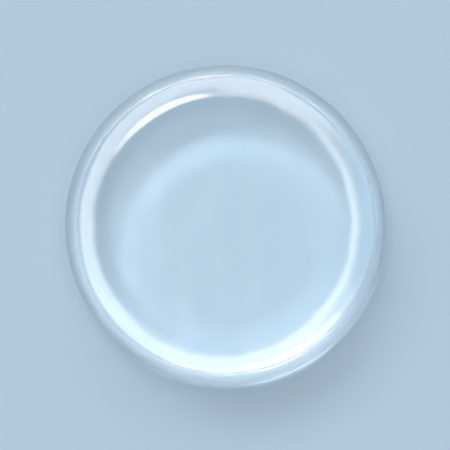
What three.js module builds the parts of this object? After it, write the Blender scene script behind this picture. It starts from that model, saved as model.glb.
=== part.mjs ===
// A clear bumper for a cabinet door or drawer: one moulded disc of soft polyurethane. It is flat on top
// where the door lands, round at the shoulder, and flat underneath where its adhesive holds it.
// Millimetres, +Z up. The origin is the centre of the adhesive face, and the disc stands up from there.

import * as THREE from "three";

// Driving dimensions, in millimetres
const BASE_DIAMETER = 12.7; // across the adhesive face, over the cut edge
const HEIGHT = 3.5; // from the adhesive face to the strike face
const SHOULDER_RADIUS = 1.1; // round edge between the wall and the strike face
const LAND_HEIGHT = 0.25; // upright edge where the disc was cut out of its moulded sheet
const EDGE_RADIUS = 0.08; // slight rounding of that cut, at the adhesive face
const EASE_RADIUS = 0.6; // slow curve that turns the upright land into the leaning wall

// Driving angle, in degrees
const WALL_DRAFT = 12; // how far the wall leans in from upright, to leave its mould

// Fineness of the turned surface
const TURN_SEGMENTS = 96;
const SHOULDER_STEPS = 10;
const EASE_STEPS = 2;
const EDGE_STEPS = 2;

const draft = THREE.MathUtils.degToRad(WALL_DRAFT);
const baseRadius = BASE_DIAMETER / 2;

// Points of an arc in the plane of radius and height, from one angle to another, both ends included.
function arc(centreRadius, centreHeight, radius, from, to, steps) {
  return Array.from({ length: steps + 1 }, (_, step) => {
    const angle = from + ((to - from) * step) / steps;
    return new THREE.Vector2(
      centreRadius + radius * Math.cos(angle),
      centreHeight + radius * Math.sin(angle),
    );
  });
}

// The round of the cut edge, from the adhesive face out to the upright land, no taller than the land.
function cutEdge() {
  const radius = Math.min(EDGE_RADIUS, LAND_HEIGHT);
  return arc(baseRadius - radius, radius, radius, -Math.PI / 2, 0, EDGE_STEPS);
}

// The slow curve from the top of the land into the leaning wall. Its centre lies inside the disc.
function wallFoot() {
  const centreRadius = baseRadius - EASE_RADIUS;
  return arc(centreRadius, LAND_HEIGHT, EASE_RADIUS, 0, draft, EASE_STEPS);
}

// The shoulder's arc. It starts on the straight wall above the point foot, no lower than that point, and
// meets both the wall and the flat strike face without a crease.
function shoulder(foot) {
  const tallest = (HEIGHT - foot.y) / (1 - Math.sin(draft));
  const radius = Math.min(SHOULDER_RADIUS, tallest);
  const centreHeight = HEIGHT - radius;
  const wallTop = centreHeight + radius * Math.sin(draft);
  const wallTopRadius = foot.x - (wallTop - foot.y) * Math.tan(draft);
  const centreRadius = wallTopRadius - radius * Math.cos(draft);
  return arc(
    centreRadius,
    centreHeight,
    radius,
    draft,
    Math.PI / 2,
    SHOULDER_STEPS,
  );
}

// Half of the disc's section, from the middle of the adhesive face to the middle of the strike face.
function section() {
  const foot = wallFoot();
  return [
    new THREE.Vector2(0, 0),
    ...cutEdge(),
    ...foot,
    ...shoulder(foot.at(-1)),
    new THREE.Vector2(0, HEIGHT),
  ];
}

// The moulded disc: its section turned once round the upright axis.
function bumperDisc() {
  const geometry = new THREE.LatheGeometry(section(), TURN_SEGMENTS);
  const clearPolyurethane = new THREE.MeshStandardMaterial({
    color: 0xe9f1f6,
    roughness: 0.08,
    metalness: 0,
    transparent: true,
    opacity: 0.35,
  });
  const disc = new THREE.Mesh(geometry, clearPolyurethane);
  disc.name = "bumper_disc";
  disc.rotation.x = Math.PI / 2; // a lathe turns about its own Y, which stands up along +Z here
  return disc;
}

const bumper = new THREE.Group();
bumper.add(bumperDisc());

export default bumper;
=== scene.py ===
import math

import bpy
import numpy as np
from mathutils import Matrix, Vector


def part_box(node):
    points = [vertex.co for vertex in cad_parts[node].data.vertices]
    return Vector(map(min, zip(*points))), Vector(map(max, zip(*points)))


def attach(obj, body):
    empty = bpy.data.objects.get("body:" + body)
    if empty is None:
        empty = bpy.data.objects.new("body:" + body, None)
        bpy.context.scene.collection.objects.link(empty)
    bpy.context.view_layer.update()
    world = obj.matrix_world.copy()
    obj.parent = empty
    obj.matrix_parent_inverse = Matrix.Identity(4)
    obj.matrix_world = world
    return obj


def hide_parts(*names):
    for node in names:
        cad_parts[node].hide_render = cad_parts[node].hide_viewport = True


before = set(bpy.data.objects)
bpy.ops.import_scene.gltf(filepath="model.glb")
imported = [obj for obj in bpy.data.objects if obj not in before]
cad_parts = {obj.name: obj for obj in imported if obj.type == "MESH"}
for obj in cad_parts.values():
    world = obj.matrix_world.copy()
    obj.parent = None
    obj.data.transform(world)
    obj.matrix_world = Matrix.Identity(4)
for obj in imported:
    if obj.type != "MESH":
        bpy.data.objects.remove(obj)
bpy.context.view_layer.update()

# Sizes below are in millimetres. The disc's diameter and height come from the frame.
MM = 0.001
NODE = "bumper_disc"
node_low, node_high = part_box(NODE)
BASE_RADIUS = (node_high.x - node_low.x) / 2 / MM
HEIGHT = (node_high.z - node_low.z) / MM
SHOULDER_RADIUS = 1.1
LAND_HEIGHT = 0.25  # upright edge left where the disc was cut from its moulded sheet
EDGE_RADIUS = 0.08
EASE_RADIUS = 0.6
WALL_DRAFT = math.radians(12)
TOP_SINK = 0.03  # the strike face shrinks this far below its rim as it cures

# Points along each stretch of the section, and round the disc
BASE_POINTS = 71
EDGE_POINTS = 9
LAND_POINTS = 5
EASE_POINTS = 7
WALL_POINTS = 31
SHOULDER_POINTS = 41
TOP_POINTS = 61
ROUND_POINTS = 320

# Unevenness that casting and coating leave: its height, and the shortest and longest of its waves
CAST_RIPPLE = 0.003
CAST_WAVES = (1.3, 3.2)
CAST_SEED = 3
COAT_RIPPLE = 0.002
COAT_WAVES = (0.9, 1.8)
COAT_SEED = 5
WAVE_COUNT = 14
RIPPLE_RISE = 0.5  # height over the land in which the wall's ripple grows to its full size
COAT_FADE = 6  # power of the radius by which the coat's ripple fades, high so that it fades near the cut
FACING_DOWN = -0.5  # a normal that points lower than this belongs to the adhesive face

# Finishes of the disc, as places in its list of materials
CAST, CUT, COAT = range(3)


# Shape of the disc

def arc(centre_r, centre_z, radius, start, end, count):
    """Points of an arc: the centre plus the radius times the cosine and sine of evenly spaced angles."""
    angle = np.linspace(start, end, count)
    return np.stack([centre_r + radius * np.cos(angle), centre_z + radius * np.sin(angle)], axis=1)


def straight(start, end, count):
    """Evenly spaced points from one corner of the section to another."""
    share = np.linspace(0, 1, count)[:, None]
    return np.array(start) * (1 - share) + np.array(end) * share


def section():
    """Half the disc's section as radius and height, from the adhesive face's middle to the strike face's.

    It runs out along the flat base, round the cut edge, up the land, over the slow curve into the
    leaning wall, round the shoulder, and back in along the top. The top sinks by TOP_SINK times the
    square of one less the radius' share squared. The second result gives the finish of each stretch
    between two points.
    """
    edge = arc(BASE_RADIUS - EDGE_RADIUS, EDGE_RADIUS, EDGE_RADIUS, -math.pi / 2, 0, EDGE_POINTS)
    ease = arc(BASE_RADIUS - EASE_RADIUS, LAND_HEIGHT, EASE_RADIUS, 0, WALL_DRAFT, EASE_POINTS)
    foot_r, foot_z = ease[-1]
    centre_z = HEIGHT - SHOULDER_RADIUS
    wall_top_z = centre_z + SHOULDER_RADIUS * math.sin(WALL_DRAFT)
    wall_top_r = foot_r - (wall_top_z - foot_z) * math.tan(WALL_DRAFT)
    flat_r = wall_top_r - SHOULDER_RADIUS * math.cos(WALL_DRAFT)
    shoulder = arc(flat_r, centre_z, SHOULDER_RADIUS, WALL_DRAFT, math.pi / 2, SHOULDER_POINTS)
    top = straight((flat_r, HEIGHT), (0, HEIGHT), TOP_POINTS)
    top[:, 1] -= TOP_SINK * (1 - (top[:, 0] / flat_r) ** 2) ** 2
    base = straight((0, 0), edge[0], BASE_POINTS)
    land = straight(edge[-1], ease[0], LAND_POINTS)
    wall = straight(ease[-1], shoulder[0], WALL_POINTS)
    parts = (
        (base, COAT),
        (edge, CUT),
        (land, CUT),
        (ease, CAST),
        (wall, CAST),
        (shoulder, CAST),
        (top, CAST),
    )
    points = np.concatenate([part[:-1] for part, _ in parts] + [top[-1:]])
    finish = np.concatenate([np.full(len(part) - 1, kind) for part, kind in parts])
    return points, finish


def facing(profile):
    """Unit normals of a section that runs from the bottom outwards and up: its slope turned a quarter."""
    slope = np.gradient(profile, axis=0)
    slope[[0, -1], 1] = 0
    return np.stack([slope[:, 1], -slope[:, 0]], axis=1) / np.linalg.norm(slope, axis=1)[:, None]


def turned_points(profile, count):
    """The profile turned round the upright axis.

    Step j of ring i lies at the ring's radius and height, on the angle 2 pi j / count. The rings come
    first, then the bottom pole and the top pole.
    """
    angle = np.arange(count) * (2 * math.pi / count)
    rings = profile[1:-1]
    x = rings[:, :1] * np.cos(angle)
    y = rings[:, :1] * np.sin(angle)
    z = np.repeat(rings[:, 1:], count, axis=1)
    poles = np.stack([np.zeros(2), np.zeros(2), profile[[0, -1], 1]], axis=1)
    return np.concatenate([np.stack([x, y, z], axis=2).reshape(-1, 3), poles])


def turned_faces(ring_count, count):
    """Four-cornered faces between neighbouring rings, and a fan of triangles round each pole."""
    bottom = ring_count * count
    here = np.arange(bottom).reshape(ring_count, count)
    after = np.roll(here, -1, axis=1)
    quads = np.stack([here[:-1], after[:-1], after[1:], here[1:]], axis=2).reshape(-1, 4)
    first_fan = np.stack([np.full(count, bottom), after[0], here[0]], axis=1)
    last_fan = np.stack([np.full(count, bottom + 1), here[-1], after[-1]], axis=1)
    return quads.tolist() + first_fan.tolist() + last_fan.tolist()


def waves(points, spans, seed):
    """Crossing waves at each point: cosines of the place along a direction over the wave's length.

    Each wave has its own direction, length and phase, drawn at random. Their sum is divided by the
    root of their count, which keeps its size the same however many there are.
    """
    draw = np.random.default_rng(seed)
    direction = draw.normal(size=(WAVE_COUNT, 3))
    direction /= np.linalg.norm(direction, axis=1)[:, None]
    length = draw.uniform(*spans, size=WAVE_COUNT)
    phase = draw.uniform(0, 2 * math.pi, size=WAVE_COUNT)
    vector = direction * (2 * math.pi / length)[:, None]
    return np.cos(points @ vector.T + phase).sum(axis=1) / math.sqrt(WAVE_COUNT)


def rippled(profile, points):
    """Moves each point along its normal by a ripple's height times the waves.

    The cast ripple grows above the land as a smooth step, and the coat's ripple is scaled by one less
    a power of the radius' share, so neither moves the cut edge.
    """
    out = turned_points(profile + facing(profile), ROUND_POINTS) - points
    rise = np.clip((points[:, 2] - LAND_HEIGHT) / RIPPLE_RISE, 0, 1)
    cast = CAST_RIPPLE * rise * rise * (3 - 2 * rise) * waves(points, CAST_WAVES, CAST_SEED)
    radius = np.hypot(points[:, 0], points[:, 1])
    held = 1 - (radius / BASE_RADIUS) ** COAT_FADE
    coat = COAT_RIPPLE * held * waves(points, COAT_WAVES, COAT_SEED)
    under = out[:, 2] < FACING_DOWN
    return points + out * np.where(under, coat, cast)[:, None]


def disc_mesh():
    """The whole disc: its points, its faces, and each face's finish, in the order of the faces."""
    profile, finish = section()
    points = rippled(profile, turned_points(profile, ROUND_POINTS))
    faces = turned_faces(len(profile) - 2, ROUND_POINTS)
    rows = np.concatenate([finish[1:-1], finish[:1], finish[-1:]])
    return points, faces, np.repeat(rows, ROUND_POINTS)


def piece(name, points, faces, materials, finishes):
    """A smooth-shaded object at the origin, from points in millimetres."""
    mesh = bpy.data.meshes.new(name)
    mesh.from_pydata((points * MM).tolist(), [], faces)
    for material in materials:
        mesh.materials.append(material)
    mesh.polygons.foreach_set("material_index", finishes)
    mesh.polygons.foreach_set("use_smooth", [True] * len(mesh.polygons))
    mesh.update()
    made = bpy.data.objects.new(name, mesh)
    bpy.context.scene.collection.objects.link(made)
    return made


# Materials

REFRACTION = 1.55  # clear polyurethane's, and near enough the acrylic adhesive's
SMEAR_SIZE = 2.5
SMEAR_START = 0.35  # the noise at which a smear begins to show
SMEAR_FULL = 0.7  # and at which it is as dull as it gets
CAST_ROUGHNESS = (0.05, 0.10)  # clean, and smeared
PEEL_SIZE = 0.6
PEEL_HEIGHT = 0.0015
MOTTLE_SIZE = 0.3
MOTTLE_HEIGHT = 0.0015
COAT_ROUGHNESS = (0.09, 0.15)
CUT_ROUGHNESS = 0.15
SCORE_SIZE = 0.09
SCORE_HEIGHT = 0.004
SCORE_SHARE = 0.05  # of a step up the edge, against one round it, which draws the scores out upright

# Inputs and outputs of a Mix node by number, because their names repeat
SHARE, NUMBER_A, NUMBER_B, COLOUR_A, COLOUR_B = 0, 2, 3, 6, 7
NUMBER_OUT, COLOUR_OUT = 0, 2


def linear(hex_colour):
    """An sRGB hex colour as linear red, green, blue and an alpha of 1."""
    value = np.array([int(hex_colour[i : i + 2], 16) for i in (1, 3, 5)]) / 255
    flat = np.where(value <= 0.04045, value / 12.92, ((value + 0.055) / 1.055) ** 2.4)
    return (*flat, 1.0)


def add(tree, kind, inputs=None, **settings):
    """Adds a node with its settings.

    inputs gives, by socket name or number, a value or a socket to link from.
    """
    node = tree.nodes.new(kind)
    for key, value in settings.items():
        setattr(node, key, value)
    for key, value in (inputs or {}).items():
        if isinstance(value, bpy.types.NodeSocket):
            tree.links.new(value, node.inputs[key])
        else:
            node.inputs[key].default_value = value
    return node


def clear_material(name, colour):
    """A Principled shader that lets light through: the material, its tree, shader and object coordinates."""
    made = bpy.data.materials.new(name)
    made.use_nodes = True
    tree = made.node_tree
    shader = tree.nodes["Principled BSDF"]
    shader.inputs["Base Color"].default_value = linear(colour)
    shader.inputs["IOR"].default_value = REFRACTION
    shader.inputs["Transmission Weight"].default_value = 1.0
    place = add(tree, "ShaderNodeTexCoord").outputs["Object"]
    return made, tree, shader, place


def cast_polyurethane():
    """Clear two-part polyurethane, cast in polished cavities.

    To the eye it is wet and glassy but softer than glass: a slow orange peel bends each highlight a
    little, and thin smears of handling take its edge off in places.
    """
    made, tree, shader, place = clear_material("cast_polyurethane", "#FAFCFD")
    smears = add(tree, "ShaderNodeTexNoise", {"Vector": place, "Scale": 1 / (SMEAR_SIZE * MM), "Detail": 4.0})
    clean, smeared = CAST_ROUGHNESS
    limits = {"From Min": SMEAR_START, "From Max": SMEAR_FULL, "To Min": clean, "To Max": smeared}
    dull = add(tree, "ShaderNodeMapRange", {"Value": smears.outputs["Fac"], **limits})
    tree.links.new(dull.outputs["Result"], shader.inputs["Roughness"])
    peel = add(tree, "ShaderNodeTexNoise", {"Vector": place, "Scale": 1 / (PEEL_SIZE * MM), "Detail": 1.5})
    bump = add(tree, "ShaderNodeBump", {"Height": peel.outputs["Fac"], "Distance": PEEL_HEIGHT * MM})
    tree.links.new(bump.outputs["Normal"], shader.inputs["Normal"])
    return made


def adhesive_coat():
    """Clear acrylic pressure-sensitive adhesive, laid on as a coat and left as soft as it is.

    It is clear too, but a fine mottle from its coating scatters a little light, so that the disc's
    underside looks faintly silvery where the rest looks like water.
    """
    made, tree, shader, place = clear_material("acrylic_adhesive_coat", "#F6F9FA")
    inputs = {"Vector": place, "Scale": 1 / (MOTTLE_SIZE * MM), "Detail": 3.0}
    mottle = add(tree, "ShaderNodeTexNoise", inputs)
    smooth, mottled = COAT_ROUGHNESS
    limits = {"To Min": smooth, "To Max": mottled}
    dull = add(tree, "ShaderNodeMapRange", {"Value": mottle.outputs["Fac"], **limits})
    tree.links.new(dull.outputs["Result"], shader.inputs["Roughness"])
    bump = add(tree, "ShaderNodeBump", {"Height": mottle.outputs["Fac"], "Distance": MOTTLE_HEIGHT * MM})
    tree.links.new(bump.outputs["Normal"], shader.inputs["Normal"])
    return made


def cut_polyurethane():
    """The same polyurethane where a steel rule cut it from its sheet.

    Fine upright scores turn the thin edge satin. They follow the edge: the angle round the disc times
    its radius goes round, and a small share of the height goes up.
    """
    made, tree, shader, place = clear_material("cut_polyurethane", "#F3F7F8")
    shader.inputs["Roughness"].default_value = CUT_ROUGHNESS
    axes = add(tree, "ShaderNodeSeparateXYZ", {"Vector": place}).outputs
    angle = add(tree, "ShaderNodeMath", {0: axes["Y"], 1: axes["X"]}, operation="ARCTAN2").outputs[0]
    around = add(tree, "ShaderNodeMath", {0: angle, 1: BASE_RADIUS * MM}, operation="MULTIPLY").outputs[0]
    up = add(tree, "ShaderNodeMath", {0: axes["Z"], 1: SCORE_SHARE}, operation="MULTIPLY").outputs[0]
    unrolled = add(tree, "ShaderNodeCombineXYZ", {"X": around, "Y": up}).outputs[0]
    inputs = {"Vector": unrolled, "Scale": 1 / (SCORE_SIZE * MM), "Detail": 2.0}
    scores = add(tree, "ShaderNodeTexNoise", inputs)
    bump = add(tree, "ShaderNodeBump", {"Height": scores.outputs["Fac"], "Distance": SCORE_HEIGHT * MM})
    tree.links.new(bump.outputs["Normal"], shader.inputs["Normal"])
    return made


def floor_paint(colour):
    """Matt paint in one pale colour."""
    made = bpy.data.materials.new("matt_floor_paint")
    made.use_nodes = True
    shader = made.node_tree.nodes["Principled BSDF"]
    shader.inputs["Base Color"].default_value = linear(colour)
    shader.inputs["Roughness"].default_value = 1.0
    shader.inputs["Specular IOR Level"].default_value = 0.0
    return made


# The piece

points, faces, finishes = disc_mesh()
materials = {CAST: cast_polyurethane(), CUT: cut_polyurethane(), COAT: adhesive_coat()}
disc = piece("moulded_disc", points, faces, [materials[kind] for kind in (CAST, CUT, COAT)], finishes)
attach(disc, "root")
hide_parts(NODE)

# Studio: the floor

FLOOR_COLOUR = "#B4CBDD"
FLOOR_SIZE = 8000
FLOOR_GAP = 0.02  # the disc stands this far over the floor, as a loose one does on its adhesive coat

bpy.ops.mesh.primitive_plane_add(size=FLOOR_SIZE * MM, location=(0, 0, -FLOOR_GAP * MM))
floor = bpy.context.object
floor.name = "floor"
floor.data.materials.append(floor_paint(FLOOR_COLOUR))

# Studio: the tent. Each band is its height, which is 1 overhead, its colour and its radiance.
FILL = 0.715  # level light on the floor
FILL_THROUGH_DISC = 0.96  # and where it comes to the floor through the disc
SEEN_IN_GLOSS = (
    (0.0, "#BFD4E4", 0.9),
    (0.35, "#DCE8F1", 1.0),
    (0.50, "#F2F7FB", 1.1),
    (0.62, "#FFFFFF", 1.7),
    (0.90, "#FFFFFF", 1.7),
    (0.96, "#F2F7FB", 0.6),
)
SEEN_THROUGH = (  # the high bright band is what the shoulder bends into a ring
    (0.0, "#BFD4E4", 0.80),
    (0.45, "#BFD4E4", 0.88),
    (0.70, "#DCE8F1", 0.95),
    (0.80, "#FFFFFF", 8.0),
    (0.982, "#FFFFFF", 8.0),
    (0.993, "#F2F7FB", 0.5),
)
BACKDROP = "#B6CEE0"  # as the camera sees it past the floor
OVAL = 0.28  # how much lower the bands hang along Y than along X
BAND_TILT = 0.08  # how much lower they hang on the low side than overhead
LOW_SIDE = math.radians(-15)

# Patches of the tent: direction, size and edge in degrees, and the value outside and inside
GLOWING_PATCH = {"azimuth": 121, "elevation": 48, "edge": 20, "core": 7, "outside": 0.0, "inside": 8.0}
HIGH_FLAG = {"azimuth": 182, "elevation": 60, "edge": 25, "core": 11, "outside": 1.0, "inside": 0.05}
LOW_FLAG = {"elevation": 14, "edge": 34, "core": 6, "outside": 1.0, "inside": 0.74}
LOW_FLAG_AZIMUTHS = (45, 225, 272, 358)
DIM_PATCHES = (HIGH_FLAG, *({"azimuth": azimuth, **LOW_FLAG} for azimuth in LOW_FLAG_AZIMUTHS))

# Lamps: name, azimuth and elevation in degrees, distance, width and height, and radiance
SOFT_BOXES = (
    ("key", 110, 50, 6000, 8000, 3000, 1.5),
    ("key_core", 115, 50, 6000, 2200, 2000, 3.2),
)


def towards(azimuth, elevation):
    """The unit vector at an azimuth, anticlockwise from +X as seen from above, and an elevation."""
    level = math.cos(elevation)
    return Vector((math.cos(azimuth) * level, math.sin(azimuth) * level, math.sin(elevation)))


def band_height(tree, direction):
    """The height by which the bands go: z, plus OVAL times y squared less x squared, plus the tilt.

    The tilt is BAND_TILT times how far the direction leans to the low side.
    """
    up = add(tree, "ShaderNodeSeparateXYZ", {"Vector": direction}).outputs["Z"]
    inputs = {0: direction, 1: (-OVAL, OVAL, 0)}
    stretched = add(tree, "ShaderNodeVectorMath", inputs, operation="MULTIPLY").outputs["Vector"]
    inputs = {0: direction, 1: stretched}
    oval = add(tree, "ShaderNodeVectorMath", inputs, operation="DOT_PRODUCT").outputs["Value"]
    inputs = {0: direction, 1: towards(LOW_SIDE, 0)}
    lean = add(tree, "ShaderNodeVectorMath", inputs, operation="DOT_PRODUCT").outputs["Value"]
    level = add(tree, "ShaderNodeMath", {0: up, 1: oval}, operation="ADD").outputs[0]
    return add(tree, "ShaderNodeMath", {0: lean, 1: BAND_TILT, 2: level}, operation="MULTIPLY_ADD").outputs[0]


def by_height(tree, height, bands):
    """A colour times a radiance that runs straight from band to band up the tent."""
    peak = max(radiance for _, _, radiance in bands)
    colours = add(tree, "ShaderNodeValToRGB", {"Fac": height})
    ramp = colours.color_ramp.elements
    while len(ramp) < len(bands):
        ramp.new(1.0)
    for element, (place, colour, radiance) in zip(ramp, bands):
        element.position = place
        element.color = (*(np.array(linear(colour)[:3]) * radiance / peak), 1)
    inputs = {0: colours.outputs["Color"], "Scale": peak}
    return add(tree, "ShaderNodeVectorMath", inputs, operation="SCALE").outputs["Vector"]


def patch(tree, direction, azimuth, elevation, edge, core, outside, inside):
    """One value within core degrees of a direction, another beyond edge degrees.

    Between the two it is a smooth step of the cosine of the angle.
    """
    centre = towards(math.radians(azimuth), math.radians(elevation))
    nearness = add(tree, "ShaderNodeVectorMath", {0: direction, 1: centre}, operation="DOT_PRODUCT")
    limits = {"From Min": math.cos(math.radians(edge)), "From Max": math.cos(math.radians(core))}
    limits |= {"Value": nearness.outputs["Value"], "To Min": outside, "To Max": inside}
    return add(tree, "ShaderNodeMapRange", limits, interpolation_type="SMOOTHSTEP").outputs["Result"]


def shown_by_disc(tree, direction, ray):
    """What the disc's gloss and its clear body show: the bands, dimmed by the flags, and the glow."""
    height = band_height(tree, direction)
    gloss = by_height(tree, height, SEEN_IN_GLOSS)
    through = by_height(tree, height, SEEN_THROUGH)
    inputs = {SHARE: ray["Is Transmission Ray"], COLOUR_A: gloss, COLOUR_B: through}
    cloth = add(tree, "ShaderNodeMix", inputs, data_type="RGBA").outputs[COLOUR_OUT]
    for dim in DIM_PATCHES:
        inputs = {0: cloth, "Scale": patch(tree, direction, **dim)}
        cloth = add(tree, "ShaderNodeVectorMath", inputs, operation="SCALE").outputs["Vector"]
    glow = patch(tree, direction, **GLOWING_PATCH)
    return add(tree, "ShaderNodeVectorMath", {0: cloth, 1: glow}).outputs["Vector"]


def white_tent():
    """A world of white cloth: matt surfaces get level light, the disc shows bands, the camera a backdrop."""
    world = bpy.data.worlds.new("white_tent")
    bpy.context.scene.world = world
    world.use_nodes = True
    world.cycles.sampling_method = "NONE"  # so that each ray's own kind picks the level it meets
    tree = world.node_tree
    direction = add(tree, "ShaderNodeTexCoord").outputs["Generated"]
    ray = add(tree, "ShaderNodeLightPath").outputs
    shown = shown_by_disc(tree, direction, ray)
    inputs = {SHARE: ray["Is Transmission Ray"], NUMBER_A: FILL, NUMBER_B: FILL_THROUGH_DISC}
    fill = add(tree, "ShaderNodeMix", inputs).outputs[NUMBER_OUT]
    from_matt = add(tree, "ShaderNodeMath", {0: ray["Diffuse Depth"], 1: 1.0}, operation="MINIMUM").outputs[0]
    inputs = {SHARE: from_matt, COLOUR_A: shown, COLOUR_B: fill}
    light = add(tree, "ShaderNodeMix", inputs, data_type="RGBA").outputs[COLOUR_OUT]
    inputs = {SHARE: ray["Is Camera Ray"], COLOUR_A: light, COLOUR_B: linear(BACKDROP)}
    seen = add(tree, "ShaderNodeMix", inputs, data_type="RGBA").outputs[COLOUR_OUT]
    tree.links.new(seen, tree.nodes["Background"].inputs["Color"])


def soft_box(name, azimuth, elevation, distance, width, height, radiance):
    """A rectangular lamp that faces the disc. Azimuth runs anticlockwise from +X, seen from above."""
    lamp = bpy.data.lights.new(name, "AREA")
    lamp.shape = "RECTANGLE"
    lamp.size = width * MM
    lamp.size_y = height * MM
    lamp.energy = radiance * math.pi * lamp.size * lamp.size_y
    made = bpy.data.objects.new(name, lamp)
    bpy.context.scene.collection.objects.link(made)
    away = towards(math.radians(azimuth), math.radians(elevation))
    made.location = away * distance * MM
    made.rotation_euler = away.to_track_quat("Z", "Y").to_euler()
    made.visible_camera = False


white_tent()
for box in SOFT_BOXES:
    soft_box(*box)

# Camera: straight down on the strike face, from far off

LENS = 500
SENSOR_WIDTH = 36
NEAREST = 1  # what the camera sees starts this far in front of it
FRAME_SHARE = 0.72  # how much of the picture's width the disc takes

bpy.context.scene.view_settings.view_transform = "Standard"
bpy.context.scene.cycles.blur_glossy = 0.0  # light that the disc bends on to the floor stays sharp
camera = bpy.data.cameras.new("camera")
camera.lens = LENS
camera.sensor_width = SENSOR_WIDTH
camera.clip_start = NEAREST * MM
view_width = 2 * BASE_RADIUS / FRAME_SHARE
camera_object = bpy.data.objects.new("camera", camera)
camera_object.location = (0, 0, (HEIGHT + view_width * LENS / SENSOR_WIDTH) * MM)
bpy.context.scene.collection.objects.link(camera_object)
bpy.context.scene.camera = camera_object
